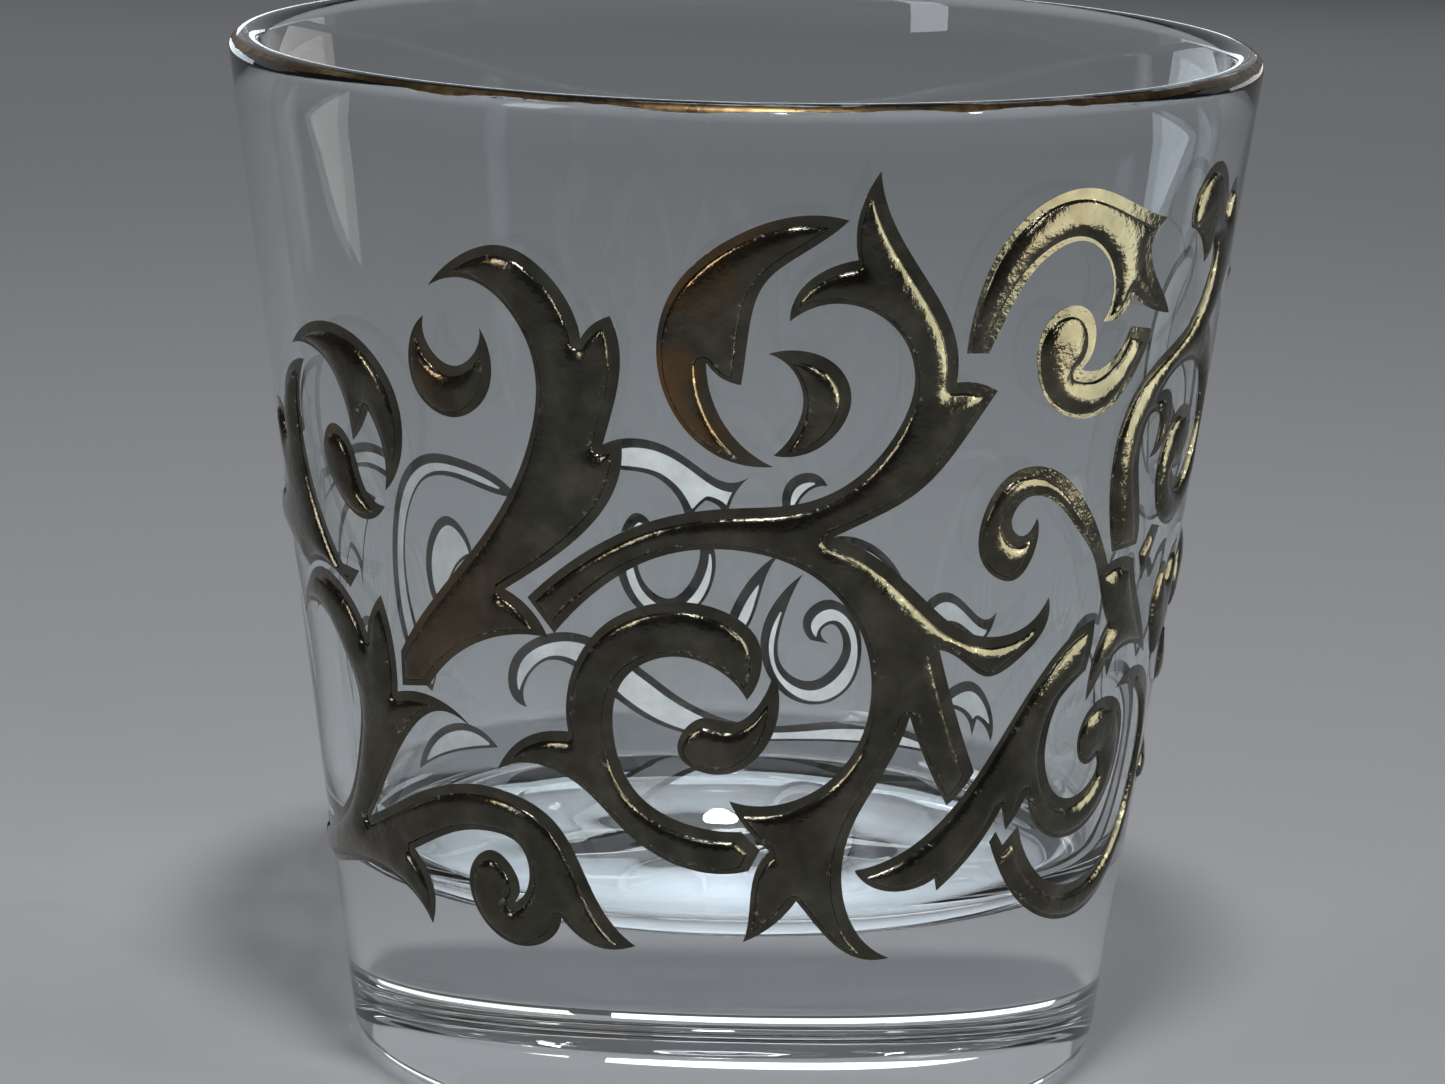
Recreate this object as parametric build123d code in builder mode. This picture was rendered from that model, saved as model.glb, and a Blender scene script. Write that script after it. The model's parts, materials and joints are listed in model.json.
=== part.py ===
"""Whiskey tumbler: a tapered, heavy-based glass with raised enamel scrollwork under a metallic lustre.

Millimetres, +Z up. The origin is the middle of the foot, on the surface that the glass stands on,
and the front centre line of the glass faces -Y.

Pieces: the glass body, the gilt line round the lip, and, for every separate scroll of the ornament,
a pale enamel bead fused to the wall and the dark metallic skin fired over the bead.
"""

from build123d import *
import math
import os

# ---------------------------------------------------------------- glass body
HEIGHT = 86.0
RIM_RADIUS = 43.0  # outer radius of the straight wall, carried up to the rim plane
FOOT_RADIUS = 31.6  # outer radius of the straight wall, carried down to the floor
WALL_THICKNESS = 2.7  # measured level
LIP_ROUND = 1.25  # fire-polished lip, nearly a half circle
HEEL_ROUND = 2.6
BASE_THICKNESS = 17.5  # solid glass under the drink
BOWL_CORNER_ROUND = 5.0
FOOT_RING_WIDTH = 6.0  # flat ring that the glass stands on, heel round included
PUNT_DEPTH = 1.2  # shallow hollow under the base
PUNT_EDGE_SLOPE = -0.35  # how steeply the hollow meets the foot ring

# ---------------------------------------------------------------- gilt line round the lip
GILT_FROM = 12.0  # degrees above level, round the lip's outer shoulder
GILT_TO = 66.0
GILT_FILM = 0.12
GILT_FLATS = 3  # the film's section is this many flats round the lip

# ---------------------------------------------------------------- raised scrollwork
REFERENCE_RADIUS = 37.5  # distances round the wall are measured at this radius
HALF_TURN = math.pi * REFERENCE_RADIUS
MARGIN = 0.50  # flat metallic border between a scroll's edge and its raised bead
BEAD_SHIFT = (-0.25, -0.25)  # the beads were laid a little down and to the left
SKIN = 0.12  # thickness of the metallic skin
BEAD_RISE = 0.60  # from the wall to the top of the skin over a bead
SCROLLS_FROM = 10.0  # no scroll reaches below this height, or above the next one
SCROLLS_TO = 82.0

# Every scroll is drawn unrolled, as (distance round the wall, height). The distance is positive to
# the right of its centre line. A scroll is a list of runs. Each run is one smooth curve that starts
# where the run before it ended, so the joins between runs are the scroll's sharp corners.

# Seen from the front, measured from the front centre line.
FRONT_SCROLLS = {
    "trunk_spray": [
        [(9.3, 81.0), (10.1, 77.8), (12.8, 73.0), (15.5, 68.4), (16.2, 64.1)],
        [(18.2, 63.9), (19.7, 63.2)],
        [(17.4, 59.6), (14.0, 55.5), (10.2, 53.3), (7.5, 52.0)],
        [(11.3, 50.0), (15.5, 46.3), (19.5, 43.4), (24.0, 42.9), (27.3, 45.4)],
        [(27.2, 42.7), (25.0, 40.7), (21.8, 39.5), (19.3, 41.0), (17.0, 42.2)],
        [(19.2, 36.5), (21.6, 31.5)],
        [(20.5, 30.0), (19.2, 28.9)],
        [(16.9, 32.6), (14.9, 36.8)],
        [(13.2, 32.6), (10.4, 27.2), (10.1, 22.4), (12.1, 18.2), (15.0, 16.2)],
        [(10.6, 17.1), (8.1, 19.3), (6.1, 21.6)],
        [(4.6, 19.9), (1.6, 18.1)],
        [(2.1, 21.5), (2.5, 24.2), (3.6, 25.9)],
        [(1.6, 27.8), (0.1, 30.1)],
        [(4.0, 29.8), (7.9, 31.4), (10.5, 34.5), (11.4, 38.8), (10.0, 44.4), (5.5, 49.2),
         (0.2, 50.9), (-6.0, 50.0), (-10.1, 47.4), (-14.3, 43.1)],
        [(-16.5, 45.8)],
        [(-12.0, 49.7), (-6.0, 53.1), (0.0, 54.3), (5.5, 54.9), (9.4, 57.1), (12.1, 60.9),
         (12.9, 64.4), (11.5, 68.2), (8.2, 70.5), (3.5, 69.3)],
        [(4.4, 72.1), (6.2, 73.5), (8.1, 74.1)],
        [(7.9, 77.0), (9.3, 81.0)],
    ],
    "crown_leaf": [
        [(7.3, 77.2), (4.8, 77.6), (-0.6, 75.8), (-4.8, 71.4), (-5.8, 65.5), (-3.7, 60.4),
         (2.7, 57.7)],
        [(-0.2, 60.0), (-1.9, 63.2), (-2.3, 65.9)],
        [(-1.0, 64.6), (0.2, 64.2)],
        [(0.6, 68.0), (1.7, 72.3), (4.2, 74.6), (7.3, 77.2)],
    ],
    "inner_crescent": [
        [(2.1, 66.7), (4.2, 67.0), (7.2, 65.6), (8.2, 63.2), (7.2, 60.3), (5.2, 58.8), (2.7, 58.6)],
        [(4.1, 60.5), (4.7, 63.0), (4.0, 65.2), (2.1, 66.7)],
    ],
    "centre_scroll": [
        [(1.3, 38.6), (2.3, 40.7), (1.9, 43.8), (-0.5, 45.8), (-4.5, 46.5), (-9.9, 44.4),
         (-12.8, 40.3), (-13.4, 35.0)],
        [(-17.0, 34.2), (-20.3, 30.8)],
        [(-16.6, 31.9), (-12.8, 30.7), (-8.1, 26.6), (-3.5, 24.3), (1.9, 24.2)],
        [(2.8, 26.0)],
        [(1.2, 27.5)],
        [(-3.3, 28.0), (-7.4, 30.2), (-9.5, 35.0), (-8.5, 39.9), (-4.5, 42.0), (-1.0, 41.0),
         (1.3, 38.6)],
    ],
    "centre_comma": [
        [(3.3, 41.2), (3.9, 38.6), (2.7, 34.3), (-0.9, 32.3), (-4.2, 34.2), (-2.2, 37.0),
         (0.3, 36.7), (2.5, 38.6), (3.3, 41.2)],
    ],
    "hook_leaf": [
        [(-23.7, 70.1), (-20.5, 73.0), (-17.0, 74.0), (-13.5, 71.8), (-11.4, 67.2)],
        [(-10.4, 68.5), (-9.2, 69.2)],
        [(-8.5, 66.0), (-9.1, 61.8), (-9.9, 58.9)],
        [(-8.5, 59.3)],
        [(-8.9, 55.8), (-12.0, 51.2), (-18.5, 46.2)],
        [(-16.3, 44.8), (-14.9, 42.7)],
        [(-18.9, 42.3), (-23.5, 40.1), (-27.0, 36.8)],
        [(-30.3, 36.2)],
        [(-30.1, 39.1)],
        [(-25.5, 44.5), (-19.3, 51.6), (-15.5, 59.5), (-15.3, 65.8), (-18.3, 70.3), (-23.7, 70.1)],
    ],
    "cup_crescent": [
        [(-24.4, 67.6), (-26.0, 65.1), (-25.5, 61.2), (-22.4, 59.7), (-19.1, 62.0), (-18.6, 64.6),
         (-19.4, 67.2)],
        [(-20.2, 64.9), (-22.0, 63.9), (-23.8, 64.8), (-24.4, 67.6)],
    ],
    "left_hook": [
        [(-42.4, 62.4), (-38.2, 64.9), (-35.5, 65.4), (-31.0, 64.3), (-28.1, 61.0), (-27.9, 55.8),
         (-30.1, 52.5)],
        [(-29.9, 55.8), (-31.3, 58.9)],
        [(-32.1, 57.6), (-33.7, 56.0)],
        [(-34.2, 58.9), (-36.3, 62.0), (-39.3, 62.9), (-42.4, 62.4)],
    ],
    "left_comma": [
        [(-30.4, 51.1), (-33.8, 49.6), (-37.1, 51.5), (-38.4, 54.6), (-36.5, 56.9), (-34.3, 55.9),
         (-33.1, 52.8), (-30.4, 51.1)],
    ],
    "left_stem": [
        [(-40.3, 61.5), (-42.2, 58.2), (-42.5, 54.0), (-40.2, 48.3), (-37.5, 45.0)],
        [(-34.9, 44.9)],
        [(-36.6, 43.2)],
        [(-40.6, 44.4), (-45.0, 43.2)],
        [(-50.0, 44.4), (-56.0, 45.2)],
        [(-56.6, 48.6)],
        [(-51.8, 48.8), (-48.8, 50.6)],
        [(-49.2, 53.4), (-50.3, 56.6)],
        [(-48.0, 56.2), (-46.6, 54.9)],
        [(-46.3, 57.4), (-43.9, 60.2), (-40.3, 61.5)],
    ],
    "left_trunk": [
        [(-49.5, 38.4), (-46.4, 41.5), (-42.5, 43.7), (-38.6, 43.3), (-34.7, 39.6)],
        [(-33.7, 41.7), (-32.1, 43.4)],
        [(-31.2, 40.4), (-31.1, 35.5)],
        [(-28.0, 36.0), (-25.1, 35.5), (-22.8, 34.1)],
        [(-26.2, 34.8), (-30.1, 32.2), (-34.0, 27.6), (-37.6, 23.5)],
        [(-32.5, 25.8), (-25.9, 28.6), (-20.1, 29.2), (-15.5, 27.6), (-11.8, 21.8), (-7.9, 17.3)],
        [(-10.6, 16.8), (-14.7, 19.0)],
        [(-16.2, 16.8), (-19.5, 16.0), (-23.2, 18.0), (-23.7, 22.2), (-21.2, 23.8), (-19.2, 22.4),
         (-19.3, 19.7)],
        [(-17.7, 21.9), (-18.5, 24.7), (-22.0, 25.4), (-27.0, 24.0), (-30.9, 22.1)],
        [(-28.8, 19.4), (-29.3, 16.0)],
        [(-30.9, 17.7), (-37.5, 19.2), (-45.5, 17.6), (-53.0, 16.4)],
        [(-53.4, 19.6)],
        [(-46.3, 21.6), (-41.3, 24.7), (-38.2, 29.5), (-37.2, 34.1), (-39.0, 37.3), (-42.5, 40.1),
         (-46.0, 40.0), (-49.5, 38.4)],
    ],
    "upper_right_scroll": [
        [(16.8, 66.4), (17.2, 70.2), (19.2, 75.4), (22.1, 78.1), (25.3, 78.9), (30.0, 77.5),
         (35.0, 75.6)],
        [(33.5, 73.2), (34.9, 70.6), (37.4, 67.5)],
        [(34.2, 68.4), (32.0, 69.6)],
        [(31.0, 68.2), (29.0, 67.9)],
        [(29.7, 70.2), (28.3, 73.3), (25.7, 74.7), (22.0, 73.0), (20.0, 69.7), (18.6, 66.3)],
        [(16.8, 66.4)],
    ],
    "upper_right_curl": [
        [(32.4, 67.1), (31.4, 65.2), (29.5, 64.0), (27.4, 64.2)],
        [(28.5, 66.4), (27.6, 68.7), (25.7, 69.5), (23.4, 68.2), (22.9, 65.6), (24.2, 62.2),
         (27.5, 60.2), (31.0, 60.5), (33.6, 62.8), (35.3, 66.5)],
        [(32.4, 67.1)],
    ],
    "right_vine": [
        [(24.9, 52.3), (25.2, 50.4), (23.4, 47.4), (20.4, 48.7), (19.6, 52.6), (21.8, 56.2),
         (24.6, 56.6), (28.8, 54.2), (32.0, 50.6), (34.3, 47.1)],
        [(36.4, 47.4), (38.4, 46.9)],
        [(39.4, 44.8), (41.9, 41.4), (44.4, 37.8)],
        [(42.4, 38.8), (40.0, 39.3), (37.6, 38.8)],
        [(37.0, 37.2)],
        [(36.4, 38.3)],
        [(35.4, 37.0), (34.2, 35.6)],
        [(34.1, 38.0), (34.8, 40.6), (35.7, 41.9)],
        [(34.5, 43.6), (32.1, 48.1), (29.3, 51.0), (26.1, 53.7), (23.4, 54.0), (22.4, 52.2),
         (23.2, 51.1), (24.9, 52.3)],
    ],
    "long_diagonal": [
        [(11.1, 24.0), (15.5, 25.3), (20.0, 28.7), (23.8, 33.6), (27.6, 38.8), (30.6, 41.5),
         (33.6, 42.6)],
        [(33.8, 40.6), (33.4, 38.3)],
        [(32.0, 37.6), (30.4, 36.4)],
        [(29.5, 33.8), (30.0, 30.2), (32.0, 27.9), (35.7, 27.4), (37.9, 29.1), (37.4, 30.2)],
        [(34.9, 30.2), (33.9, 32.2), (35.0, 34.6), (37.5, 35.3), (40.5, 34.1), (41.9, 30.8),
         (40.6, 26.5), (36.5, 24.0), (31.4, 24.5), (28.0, 28.8)],
        [(26.8, 26.9), (25.9, 25.9)],
        [(25.1, 28.0)],
        [(23.4, 25.5), (21.6, 23.6), (19.1, 21.6)],
        [(18.8, 22.7)],
        [(15.5, 21.9), (12.6, 22.6), (11.1, 24.0)],
    ],
    "bottom_scroll": [
        [(24.2, 25.1), (25.7, 22.6), (28.0, 19.9), (31.1, 17.8), (35.0, 16.5), (40.3, 16.5),
         (45.3, 18.6), (48.9, 23.3), (49.7, 28.5), (48.4, 33.3), (44.6, 36.5), (41.4, 36.8),
         (39.3, 35.7)],
        [(43.4, 34.9), (46.8, 31.5), (46.9, 26.1), (43.8, 21.3), (38.0, 19.4), (33.0, 20.1),
         (29.3, 22.8), (27.4, 26.0)],
        [(26.5, 25.2), (25.8, 24.6)],
        [(24.8, 25.9)],
        [(24.2, 25.1)],
    ],
    "right_trunk": [
        [(34.6, 48.1), (33.3, 51.8), (32.8, 56.8), (34.2, 61.2), (38.4, 64.3), (43.0, 67.1),
         (44.4, 69.8), (43.9, 72.6)],
        [(43.3, 71.5), (42.5, 70.9)],
        [(41.2, 72.9), (39.0, 74.2)],
        [(38.8, 76.2), (41.9, 79.2), (45.0, 77.4), (46.0, 75.0)],
        [(46.6, 76.3), (47.7, 77.1)],
        [(49.6, 73.4), (49.3, 68.9), (46.6, 65.3)],
        [(49.4, 62.2), (50.6, 56.6), (49.7, 51.2), (46.0, 48.6), (42.0, 49.8), (40.0, 54.0),
         (41.2, 57.7), (43.9, 58.9), (46.3, 57.0), (45.5, 54.3), (43.3, 53.6)],
        [(45.6, 52.5), (47.9, 54.8), (47.6, 59.3), (44.5, 62.3), (41.2, 62.6), (38.4, 60.8)],
        [(40.3, 60.4), (41.0, 58.3), (40.2, 56.3), (38.2, 55.4)],
        [(39.0, 57.5), (38.7, 58.9), (37.5, 59.2), (36.5, 57.4), (36.8, 54.3), (38.4, 48.1)],
        [(34.6, 48.1)],
    ],
    "tie_stem": [
        [(39.2, 47.2), (41.0, 49.3)],
        [(42.6, 48.9)],
        [(41.6, 46.8), (40.6, 44.7)],
        [(39.2, 47.2)],
    ],
    "edge_leaf": [
        [(47.3, 36.4), (45.2, 39.2), (44.2, 42.6), (45.9, 45.2), (47.2, 44.2)],
        [(48.6, 45.8), (50.2, 46.2)],
        [(50.4, 41.9), (49.4, 38.4), (47.3, 36.4)],
    ],
}

# Seen from behind, measured from the back centre line.
BACK_SCROLLS = {
    "ring_scroll": [
        [(22.4, 40.2), (25.4, 42.7), (29.4, 44.5), (34.2, 45.4), (38.2, 43.9), (40.9, 39.8),
         (41.8, 34.6), (40.6, 29.2), (36.6, 24.6)],
        [(35.2, 26.4)],
        [(38.2, 30.6), (39.3, 35.4), (38.2, 40.0), (34.6, 43.2), (30.2, 42.9), (26.2, 41.3),
         (22.4, 40.2)],
    ],
    "teardrop": [
        [(28.5, 35.6), (29.5, 38.2), (32.0, 39.7), (34.6, 38.2), (35.6, 34.8), (34.2, 31.7)],
        [(32.4, 33.4), (30.8, 35.0), (28.5, 35.6)],
    ],
    "slender_stem": [
        [(39.4, 46.0), (44.0, 47.8), (50.0, 48.2), (60.4, 48.5)],
        [(60.9, 45.9)],
        [(50.0, 46.2), (45.0, 45.8), (41.0, 44.3)],
        [(39.4, 46.0)],
    ],
    "wave_leaf": [
        [(-1.2, 41.4), (1.2, 40.9), (4.0, 42.4), (7.2, 44.2), (10.8, 44.8), (15.0, 43.2)],
        [(11.6, 42.0), (8.0, 41.3), (5.9, 39.6), (4.9, 36.8)],
        [(3.9, 38.4), (3.0, 39.2)],
        [(1.9, 38.8), (0.9, 37.2)],
        [(0.4, 39.4), (-1.2, 41.4)],
    ],
    "u_curl": [
        [(2.2, 35.0), (2.3, 31.6), (4.8, 28.7), (8.6, 28.7), (11.4, 31.6), (11.7, 35.6),
         (10.2, 38.0), (8.2, 36.9)],
        [(9.5, 36.3), (9.9, 34.2), (8.8, 31.4), (6.6, 30.3), (4.5, 31.8), (3.8, 35.6)],
        [(2.2, 35.0)],
    ],
    "open_ring": [
        [(-7.0, 32.8), (-4.6, 30.6), (-2.9, 26.8), (-4.2, 22.8), (-8.4, 20.8), (-12.6, 22.6),
         (-13.8, 26.6), (-12.4, 29.6), (-9.6, 30.6), (-7.4, 29.0), (-8.2, 26.8)],
        [(-10.2, 26.6)],
        [(-9.4, 27.9), (-10.4, 28.4), (-11.7, 27.0), (-10.9, 24.6), (-8.2, 23.0), (-5.3, 24.2),
         (-4.9, 27.6), (-7.0, 32.8)],
    ],
    "cross_leaf": [
        [(-5.6, 35.2), (-2.6, 33.2), (0.6, 28.4)],
        [(-0.2, 26.4)],
        [(-1.9, 28.4), (-2.8, 31.2), (-5.6, 35.2)],
    ],
    "pale_crescent": [
        [(-18.6, 31.6), (-16.6, 34.4), (-13.4, 36.2), (-9.4, 36.2)],
        [(-12.6, 34.2), (-15.4, 31.6), (-16.8, 28.6)],
        [(-18.6, 31.6)],
    ],
    "small_hook": [
        [(-8.9, 40.9), (-7.0, 42.0), (-4.9, 41.0), (-4.6, 38.6), (-6.0, 37.4)],
        [(-6.1, 39.2), (-7.0, 40.3), (-8.9, 40.9)],
    ],
    "wave_hook": [
        [(-29.6, 31.8), (-27.8, 30.9), (-25.6, 31.8), (-22.6, 32.6), (-19.8, 30.4), (-19.2, 26.4)],
        [(-21.4, 28.9), (-24.0, 29.8), (-26.6, 29.0), (-29.6, 31.8)],
    ],
    "forked_leaf": [
        [(-21.8, 21.8), (-24.0, 23.8), (-27.4, 25.2), (-30.2, 23.6), (-31.0, 20.2)],
        [(-29.8, 21.6), (-28.6, 22.0)],
        [(-28.2, 20.2)],
        [(-26.6, 22.2), (-24.4, 22.4), (-21.8, 21.8)],
    ],
    "left_leaf": [
        [(43.6, 42.9), (48.0, 44.2), (53.4, 43.0), (57.6, 38.8), (59.4, 32.8), (58.4, 27.4)],
        [(56.8, 32.0), (54.8, 36.8), (51.4, 40.0)],
        [(49.8, 38.8), (48.9, 36.4)],
        [(47.2, 39.8), (43.6, 42.9)],
    ],
    "root_scroll": [
        [(63.4, 16.4), (56.0, 16.2), (49.0, 18.6), (44.6, 24.0), (44.9, 30.4), (49.0, 33.6),
         (53.2, 31.6), (53.4, 27.6), (50.6, 26.4)],
        [(51.0, 28.8), (49.4, 30.4), (47.4, 28.8), (47.8, 24.4), (51.8, 20.6), (57.0, 19.0),
         (63.0, 19.5)],
        [(63.4, 16.4)],
    ],
    "base_garland": [
        [(-27.0, 16.6), (-19.0, 19.4), (-11.5, 19.2), (-3.0, 18.0), (5.0, 20.8), (12.0, 25.6),
         (18.6, 27.8), (23.8, 26.2), (24.6, 22.8), (22.6, 21.2)],
        [(22.6, 23.6), (20.4, 25.2), (15.6, 23.8), (9.0, 18.8), (1.0, 15.9), (-8.0, 16.2),
         (-17.0, 17.0), (-27.0, 16.6)],
    ],
    "base_leaf": [
        [(27.0, 17.0), (31.0, 20.6), (36.4, 20.8), (41.0, 17.2)],
        [(36.0, 17.8), (31.6, 17.6), (27.0, 17.0)],
    ],
}


def mirrored(runs, centre, drop):
    """The same scroll turned over left to right about `centre`, and lowered by `drop`."""
    return [[(centre - across, height - drop) for across, height in run] for run in runs]


# Three of the front scrolls come again behind the right-hand side, turned over.
REPEAT_CENTRE = -62.0
CROWN_REPEAT_CENTRE = -55.0
CROWN_REPEAT_DROP = 8.5
BACK_SCROLLS["repeat_scroll"] = mirrored(FRONT_SCROLLS["centre_scroll"], REPEAT_CENTRE, 0.0)
BACK_SCROLLS["repeat_comma"] = mirrored(FRONT_SCROLLS["centre_comma"], REPEAT_CENTRE, 0.0)
BACK_SCROLLS["repeat_crown"] = mirrored(
    FRONT_SCROLLS["crown_leaf"], CROWN_REPEAT_CENTRE, CROWN_REPEAT_DROP
)


def wall_radius(height):
    """Outer radius of the straight tapered wall at a height."""
    return FOOT_RADIUS + (RIM_RADIUS - FOOT_RADIUS) * height / HEIGHT


def wall_plane(around):
    """Upright plane through the axis that looks out through the wall, `around` from the front."""
    turn = around / REFERENCE_RADIUS
    return Plane(
        origin=(0, 0, 0),
        x_dir=(math.cos(turn), math.sin(turn), 0),
        z_dir=(math.sin(turn), -math.cos(turn), 0),
    )


def middle_of(runs):
    """Middle of a scroll's extent round the wall."""
    distances = [across for run in runs for across, height in run]
    return (min(distances) + max(distances)) / 2


def on_plane(point, middle):
    """Where an unrolled point lies on the upright plane that looks out at `middle`."""
    across, height = point
    return (wall_radius(height) * math.sin((across - middle) / REFERENCE_RADIUS), height)


def draw_scroll(runs, middle, shift=(0.0, 0.0)):
    """Draw a scroll's closed outline, moved by `shift`, in the line context that is open."""
    corner = []
    for run in runs:
        moved = [(across + shift[0], height + shift[1]) for across, height in corner + run]
        points = [on_plane(point, middle) for point in moved]
        if len(points) == 2:
            Line(*points)
        else:
            Spline(*points)
        corner = run[-1:]


def wall_layer(thickness):
    """Conical layer that lies on the straight wall, over the whole height of the scrollwork."""
    with BuildPart() as layer:
        with BuildSketch(Plane.XZ):
            with BuildLine():
                Polyline(
                    (wall_radius(SCROLLS_FROM), SCROLLS_FROM),
                    (wall_radius(SCROLLS_FROM) + thickness, SCROLLS_FROM),
                    (wall_radius(SCROLLS_TO) + thickness, SCROLLS_TO),
                    (wall_radius(SCROLLS_TO), SCROLLS_TO),
                    close=True,
                )
            make_face()
        revolve(axis=Axis.Z)
    return layer.part


def on_wall(runs, middle, inset, shift, layer):
    """The part of a wall layer that lies inside a scroll's outline, drawn in by `inset`."""
    plane = wall_plane(middle)
    with BuildSketch(plane) as outline:
        with BuildLine():
            draw_scroll(runs, middle, shift)
        make_face()
        if inset:
            offset(amount=-inset, mode=Mode.REPLACE)
    with BuildPart() as piece:
        extrude(outline.sketch.to_splines(), amount=RIM_RADIUS + BEAD_RISE, dir=plane.z_dir)
        add(layer, mode=Mode.INTERSECT)
    return piece.part


os.makedirs("parts", exist_ok=True)

# ---------------------------------------------------------------- glass body
taper = math.atan2(RIM_RADIUS - FOOT_RADIUS, HEIGHT)
foot_ring_inner = FOOT_RADIUS - FOOT_RING_WIDTH

with BuildPart() as glass_body:
    with BuildSketch(Plane.XZ):
        with BuildLine():
            FilletPolyline(
                (foot_ring_inner, 0),
                (FOOT_RADIUS, 0),
                (RIM_RADIUS, HEIGHT),
                (RIM_RADIUS - WALL_THICKNESS, HEIGHT),
                (wall_radius(BASE_THICKNESS) - WALL_THICKNESS, BASE_THICKNESS),
                (0, BASE_THICKNESS),
                radius=[HEEL_ROUND, LIP_ROUND, LIP_ROUND, BOWL_CORNER_ROUND],
            )
            Line((0, BASE_THICKNESS), (0, PUNT_DEPTH))
            Spline((0, PUNT_DEPTH), (foot_ring_inner, 0), tangents=[(1, 0), (1, PUNT_EDGE_SLOPE)])
        make_face()
    revolve(axis=Axis.Z)

glass_body.part.label = "glass_body"
export_step(glass_body.part, "parts/glass_body.step")

# ---------------------------------------------------------------- gilt line on the lip's outer shoulder
lip_height = HEIGHT - LIP_ROUND
lip_radius = wall_radius(lip_height) - LIP_ROUND / math.cos(taper)


def lip_point(distance, degrees):
    """Point at a distance from the middle of the lip's outer round, `degrees` above level."""
    angle = math.radians(degrees)
    return (lip_radius + distance * math.cos(angle), lip_height + distance * math.sin(angle))


gilt_step = (GILT_TO - GILT_FROM) / GILT_FLATS
gilt_angles = [GILT_FROM + gilt_step * index for index in range(GILT_FLATS + 1)]
clear_of_lip = LIP_ROUND / math.cos(math.radians(gilt_step / 2))

with BuildPart() as gilt_line:
    with BuildSketch(Plane.XZ):
        with BuildLine():
            Polyline(
                *[lip_point(clear_of_lip, angle) for angle in gilt_angles],
                *[lip_point(LIP_ROUND + GILT_FILM, angle) for angle in reversed(gilt_angles)],
                close=True,
            )
        make_face()
    revolve(axis=Axis.Z)

gilt_line.part.label = "gilt_line"
export_step(gilt_line.part, "parts/gilt_line.step")

# ---------------------------------------------------------------- scrollwork
skin_layer = wall_layer(SKIN)
bead_layer = wall_layer(BEAD_RISE)
core_layer = wall_layer(BEAD_RISE - SKIN)


def make_scroll(name, runs, middle):
    """One scroll: its enamel bead, and the metallic skin that covers the bead and a flat margin."""
    bead = on_wall(runs, middle, MARGIN + SKIN, BEAD_SHIFT, core_layer)
    cover = on_wall(runs, middle, MARGIN, BEAD_SHIFT, bead_layer)
    with BuildPart() as skin:
        add(on_wall(runs, middle, 0, (0.0, 0.0), skin_layer))
        add(cover)
        add(bead, mode=Mode.SUBTRACT)
    skin.part.label = name + "_skin"
    export_step(skin.part, "parts/" + name + "_skin.step")
    return bead


for name, runs in FRONT_SCROLLS.items():
    bead = make_scroll(name, runs, middle_of(runs))
    bead.label = name + "_bead"
    export_step(bead, "parts/" + name + "_bead.step")

back_beads = []
for name, runs in BACK_SCROLLS.items():
    round_the_back = [[(across + HALF_TURN, height) for across, height in run] for run in runs]
    back_beads.append(make_scroll("back_" + name, round_the_back, middle_of(round_the_back)))

all_back_beads = Compound(label="back_beads", children=back_beads)
export_step(all_back_beads, "parts/back_beads.step")
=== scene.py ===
"""Looks of a whiskey tumbler: clear glass, a worn gilt lip line and raised scrollwork in dark lustre."""
import math

import bpy
import numpy as np
from mathutils import Matrix, Vector, geometry, noise
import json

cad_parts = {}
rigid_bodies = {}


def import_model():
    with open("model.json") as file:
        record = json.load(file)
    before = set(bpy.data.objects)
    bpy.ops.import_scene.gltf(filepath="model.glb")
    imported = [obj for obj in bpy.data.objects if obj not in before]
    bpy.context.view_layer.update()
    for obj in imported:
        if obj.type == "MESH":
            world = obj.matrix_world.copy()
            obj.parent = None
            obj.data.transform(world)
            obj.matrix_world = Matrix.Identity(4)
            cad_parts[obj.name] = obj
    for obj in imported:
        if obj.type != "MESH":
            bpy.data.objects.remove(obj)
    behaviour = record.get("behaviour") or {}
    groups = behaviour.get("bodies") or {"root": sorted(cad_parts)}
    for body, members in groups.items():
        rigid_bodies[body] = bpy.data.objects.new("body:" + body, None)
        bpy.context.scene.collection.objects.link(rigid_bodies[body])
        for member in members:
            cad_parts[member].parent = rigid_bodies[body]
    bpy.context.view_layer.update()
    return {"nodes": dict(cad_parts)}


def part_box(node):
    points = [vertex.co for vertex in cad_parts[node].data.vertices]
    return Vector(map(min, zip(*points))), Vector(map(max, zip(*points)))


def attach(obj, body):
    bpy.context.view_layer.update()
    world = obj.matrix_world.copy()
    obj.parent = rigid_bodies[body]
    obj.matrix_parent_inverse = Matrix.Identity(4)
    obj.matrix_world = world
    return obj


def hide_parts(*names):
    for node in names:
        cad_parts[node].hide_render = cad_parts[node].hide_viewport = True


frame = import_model()

MM = 0.001

# The scrolls, in millimetres. Where they lie, and their outlines, come from the frame.
WELD = 0.0005            # points closer than this are one point
ON_WALL = 0.01           # how near the wall a CAD point lies to count as on it
OUTLINE_STEP = 0.30      # longest edge along an outline
GRID_STEP = 0.34         # spacing of the points inside a bead
FILM = 0.035             # thickness of the metal film as it shows
BOND = 0.02              # how far film and enamel are fused into the glass
BEAD_RISE = 0.62         # height of a bead's crest
FULL_WIDTH = 0.85        # half-width that a bead needs to come near its full height
NARROWEST = 0.25         # least half-width of a bead
CELL = 0.28              # cell of the grid on which a bead settles
SETTLE_STEPS = 260       # rounds of settling
BEAD_RINGS = (0.10, 0.26, 0.50)   # distances in from a bead's edge that get a row of points
LUMP = 0.05              # share of a bead's height that is uneven
SCROLL_SHARP = 38.0      # degrees between faces from which an edge of a scroll is sharp

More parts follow.
